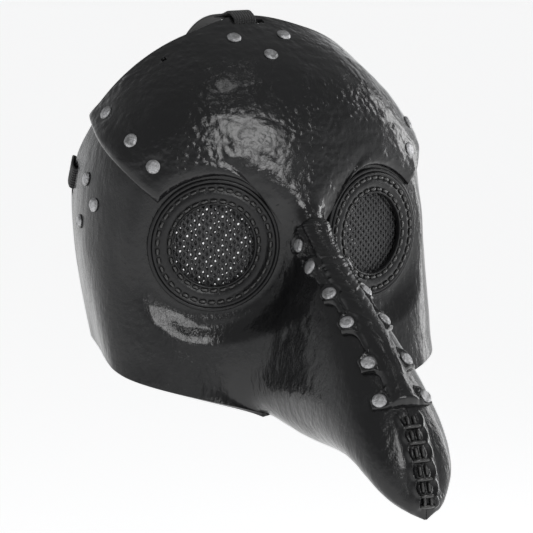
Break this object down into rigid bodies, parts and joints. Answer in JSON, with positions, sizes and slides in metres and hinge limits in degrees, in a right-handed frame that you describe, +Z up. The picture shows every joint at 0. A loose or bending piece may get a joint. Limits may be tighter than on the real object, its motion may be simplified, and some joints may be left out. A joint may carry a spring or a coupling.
{
  "type": "beaked costume mask",
  "caption": "Rigid leather half-head mask with a long downturned beak, riveted panels, round mesh eye windows and an elastic head harness.",
  "frame": {"origin": "between the eyes, on the wearer's face: at eye level, on the middle plane, level with the rim behind the temples", "axes": "+Z up, -Y the way the wearer looks and the beak points, -X the wearer's right"},
  "size_m": [0.1876, 0.2671, 0.2285],
  "materials": {
    "side_leather": "gloss black, fine vertical creases",
    "forehead_leather": "gloss black, hammered grain",
    "strip_leather": "gloss black, cross wrinkles",
    "ring_leather": "semi-gloss black",
    "lacing": "waxed black thread",
    "eye_mesh": "woven spacer mesh",
    "rivets": "brushed silver with a pebbled face",
    "elastic": "ribbed black elastic",
    "keepers": "moulded black"
  },
  "bodies": {
    "mask": {"right_side_panel": "side_leather", "left_side_panel": "side_leather", "forehead_panel": "forehead_leather", "nose_strip": "strip_leather", "beak_lacing": "lacing", "beak_under_stitching": "lacing", "right_eye_ring": "ring_leather", "left_eye_ring": "ring_leather", "right_eye_welt": "ring_leather", "left_eye_welt": "ring_leather", "right_eye_stitching": "lacing", "left_eye_stitching": "lacing", "right_eye_mesh": "eye_mesh", "left_eye_mesh": "eye_mesh", "right_mesh_retainer": "ring_leather", "left_mesh_retainer": "ring_leather", "right_brow_rivets": "rivets", "left_brow_rivets": "rivets", "right_temple_rivets": "rivets", "left_temple_rivets": "rivets", "crown_rivets": "rivets", "right_nose_rivets": "rivets", "left_nose_rivets": "rivets", "brow_rivet_caps": "rivets", "temple_rivet_caps": "rivets", "crown_rivet_caps": "rivets", "nose_rivet_caps": "rivets", "right_strap_loop": "elastic", "left_strap_loop": "elastic", "crown_strap_loop": "elastic", "crown_strap": "elastic"},
    "head_band": {"head_band": "elastic"},
    "right_keeper": {"right_strap_keeper": "keepers"},
    "left_keeper": {"left_strap_keeper": "keepers"}
  },
  "joints": [
    {"name": "head_band_swing", "type": "hinge", "parent": "mask", "child": "head_band", "pos_m": [0, 0.004, 0.02682], "axis": [1, 0, 0], "range_deg": [-25, 25], "stiffness_Nm_per_rad": 0.3, "deforming": ["crown_strap", "right_strap_loop", "left_strap_loop"]},
    {"name": "right_keeper_slide", "type": "hinge", "parent": "head_band", "child": "right_keeper", "pos_m": [0, -0.0535, 0.02682], "axis": [0, 0, -1], "range_deg": [-8, 24]},
    {"name": "left_keeper_slide", "type": "hinge", "parent": "head_band", "child": "left_keeper", "pos_m": [0, -0.0535, 0.02682], "axis": [0, 0, 1], "range_deg": [-8, 24]}
  ]
}
